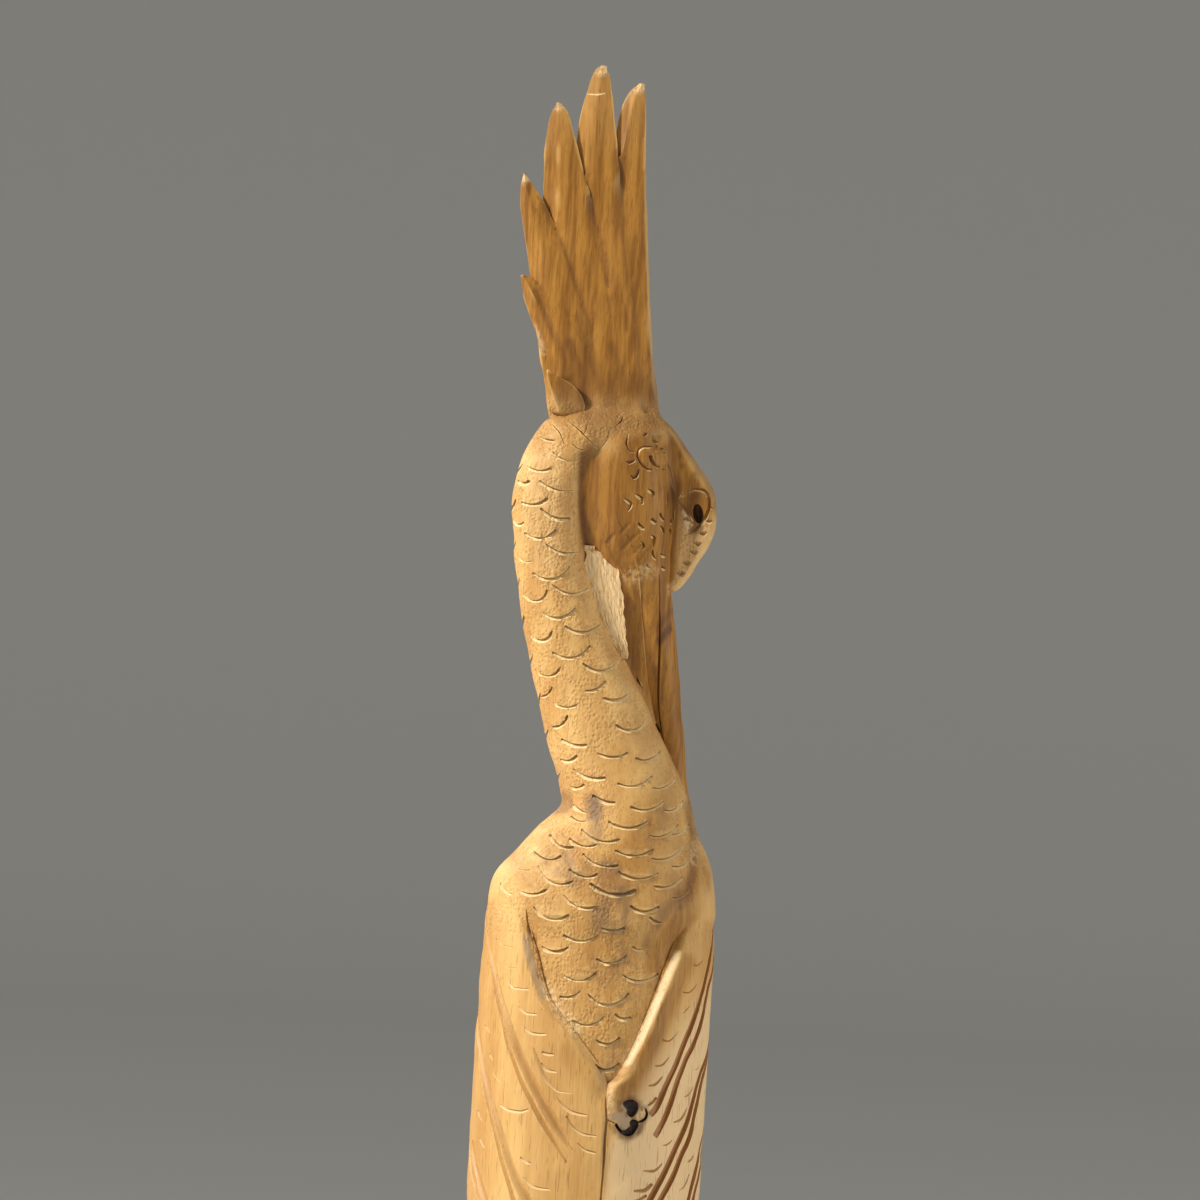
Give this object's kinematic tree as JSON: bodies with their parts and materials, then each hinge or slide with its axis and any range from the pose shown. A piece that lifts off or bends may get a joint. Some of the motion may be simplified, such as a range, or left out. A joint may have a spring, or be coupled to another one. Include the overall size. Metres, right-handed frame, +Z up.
{
  "type": "carved wooden heron sculpture",
  "caption": "Tall carved wooden heron with folded wings, scaled neck bent over, hanging beak and upright fan crest, standing on a low round base cut from the same log.",
  "frame": {"origin": "middle of the base's underside", "axes": "+Z up; the bird's back faces -Y and its breast +Y; +X is the side its beak hangs on"},
  "size_m": [0.088, 0.088, 0.508],
  "materials": {
    "carved_wood": "honey-yellow seasoned wood, hand carved and lightly waxed, with darker gouge cuts, a black knot and paler raw patches"
  },
  "bodies": {
    "root": {"heron": "carved_wood"}
  },
  "joints": []
}
